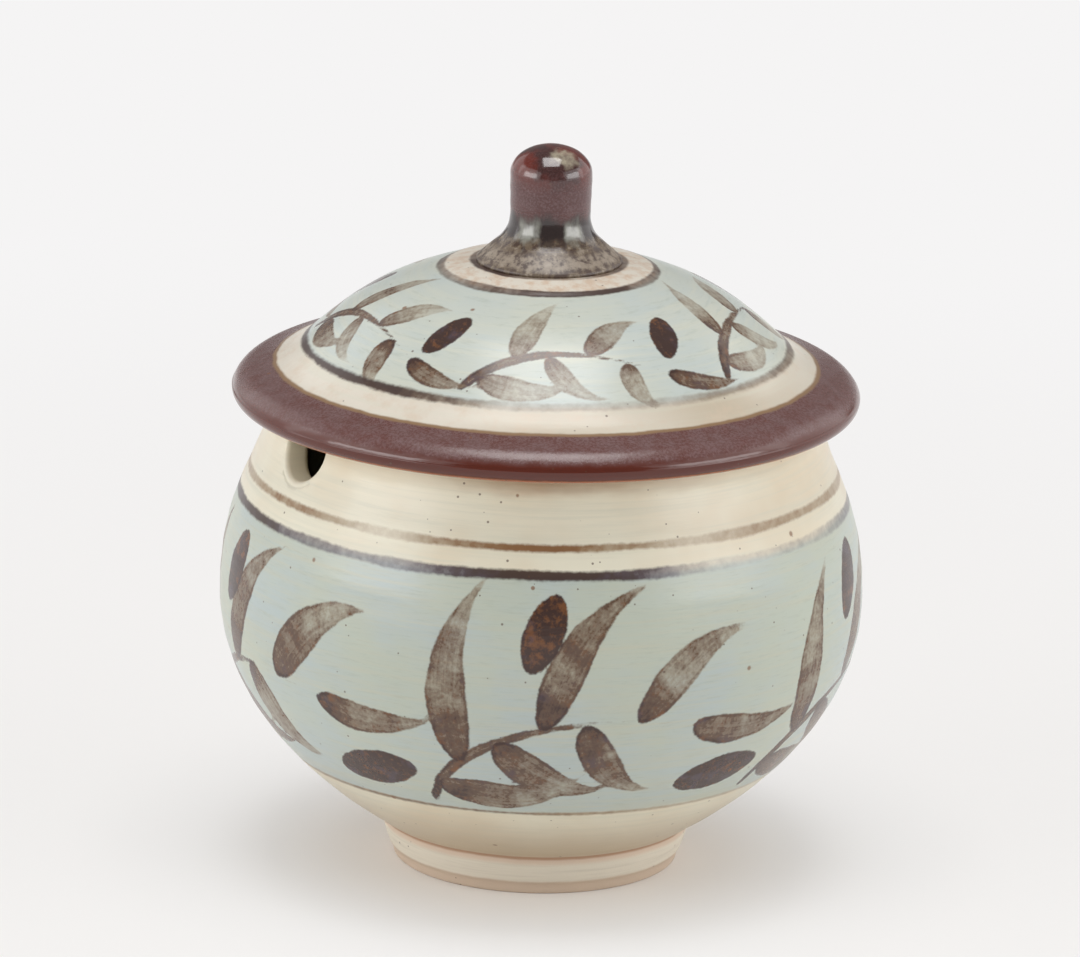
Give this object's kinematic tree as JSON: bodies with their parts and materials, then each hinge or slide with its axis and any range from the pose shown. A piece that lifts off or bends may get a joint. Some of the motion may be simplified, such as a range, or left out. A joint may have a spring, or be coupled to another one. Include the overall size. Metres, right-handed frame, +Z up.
{
  "type": "lidded preserve pot",
  "caption": "Round stoneware preserve pot on a turned foot ring, with a spoon notch in its rim and a lift-off domed lid with an overhanging brim and a grip knob.",
  "frame": {"origin": "centre of the foot ring's underside, on the surface the pot stands on", "axes": "+Z up along the pot's axis; the spoon notch in the rim points along -X"},
  "size_m": [0.108, 0.108, 0.1227],
  "materials": {
    "pot_glaze": "satin",
    "lid_glaze": "satin",
    "knob_glaze": "gloss"
  },
  "bodies": {
    "pot": {"pot": "pot_glaze"},
    "lid": {"lid": "lid_glaze", "knob": "knob_glaze"}
  },
  "joints": [
    {"name": "lid_lift", "type": "slide", "parent": "pot", "child": "lid", "axis": [0, 0, 1], "range_m": [0, 0.06]}
  ]
}
